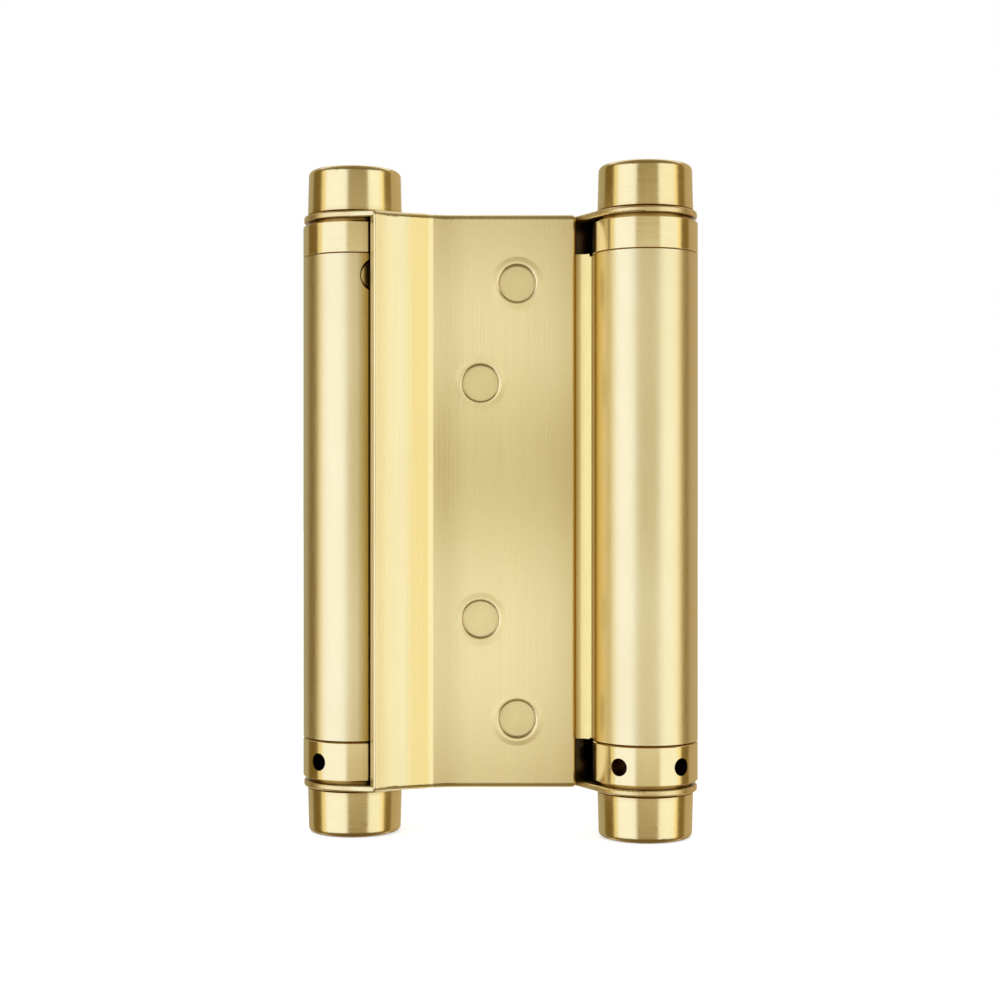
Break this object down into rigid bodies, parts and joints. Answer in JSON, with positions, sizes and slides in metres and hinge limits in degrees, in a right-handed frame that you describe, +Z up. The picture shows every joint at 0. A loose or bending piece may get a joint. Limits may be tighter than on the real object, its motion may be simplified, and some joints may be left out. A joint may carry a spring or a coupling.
{
  "type": "double action spring hinge",
  "caption": "Double action spring hinge for a cafe door: leaves folded over a web rolled into a sprung barrel at each edge, with plain caps and tension collars, swinging both ways.",
  "frame": {"origin": "centre of the hinge, midway between the barrel axes at half the height", "axes": "+Z up along the barrels, +X along the folded leaves to the right, +Y from the front leaf to the back leaf"},
  "size_m": [0.069, 0.0238, 0.1162],
  "materials": {
    "leaf_brass": "satin, brushed along its height",
    "barrel_brass": "satin, brushed along the barrel",
    "cap_brass": "satin, turned",
    "collar_brass": "satin, turned",
    "washer_brass": "plain",
    "spindle_steel": "bright drawn",
    "spring_steel": "oiled"
  },
  "bodies": {
    "jamb_leaf": {"front_leaf": "leaf_brass", "left_spindle": "spindle_steel", "left_top_cap": "cap_brass", "left_bottom_cap": "cap_brass", "left_top_washer": "washer_brass", "left_bottom_washer": "washer_brass"},
    "web": {"web_barrels": "barrel_brass", "left_top_plug": "collar_brass", "right_top_plug": "collar_brass", "left_spring": "spring_steel", "right_spring": "spring_steel"},
    "door_leaf": {"back_leaf": "leaf_brass", "right_spindle": "spindle_steel", "right_top_cap": "cap_brass", "right_bottom_cap": "cap_brass", "right_top_washer": "washer_brass", "right_bottom_washer": "washer_brass"},
    "left_collar": {"left_tension_collar": "collar_brass"},
    "right_collar": {"right_tension_collar": "collar_brass"}
  },
  "joints": [
    {"name": "left_barrel_hinge", "type": "hinge", "parent": "jamb_leaf", "child": "web", "pos_m": [-0.0254, 0.0028, 0], "axis": [0, 0, 1], "range_deg": [0, 180], "stiffness_Nm_per_rad": 0.86},
    {"name": "right_barrel_hinge", "type": "hinge", "parent": "web", "child": "door_leaf", "pos_m": [0.0254, -0.0028, 0], "axis": [0, 0, -1], "range_deg": [0, 180], "stiffness_Nm_per_rad": 0.86},
    {"name": "left_collar_turn", "type": "hinge", "parent": "web", "child": "left_collar", "pos_m": [-0.0254, 0.0028, 0], "axis": [0, 0, -1], "range_deg": [0, 216], "stiffness_Nm_per_rad": 0.86, "deforming": ["left_spring"]},
    {"name": "right_collar_turn", "type": "hinge", "parent": "web", "child": "right_collar", "pos_m": [0.0254, -0.0028, 0], "axis": [0, 0, -1], "range_deg": [0, 216], "stiffness_Nm_per_rad": 0.86, "deforming": ["right_spring"]}
  ]
}
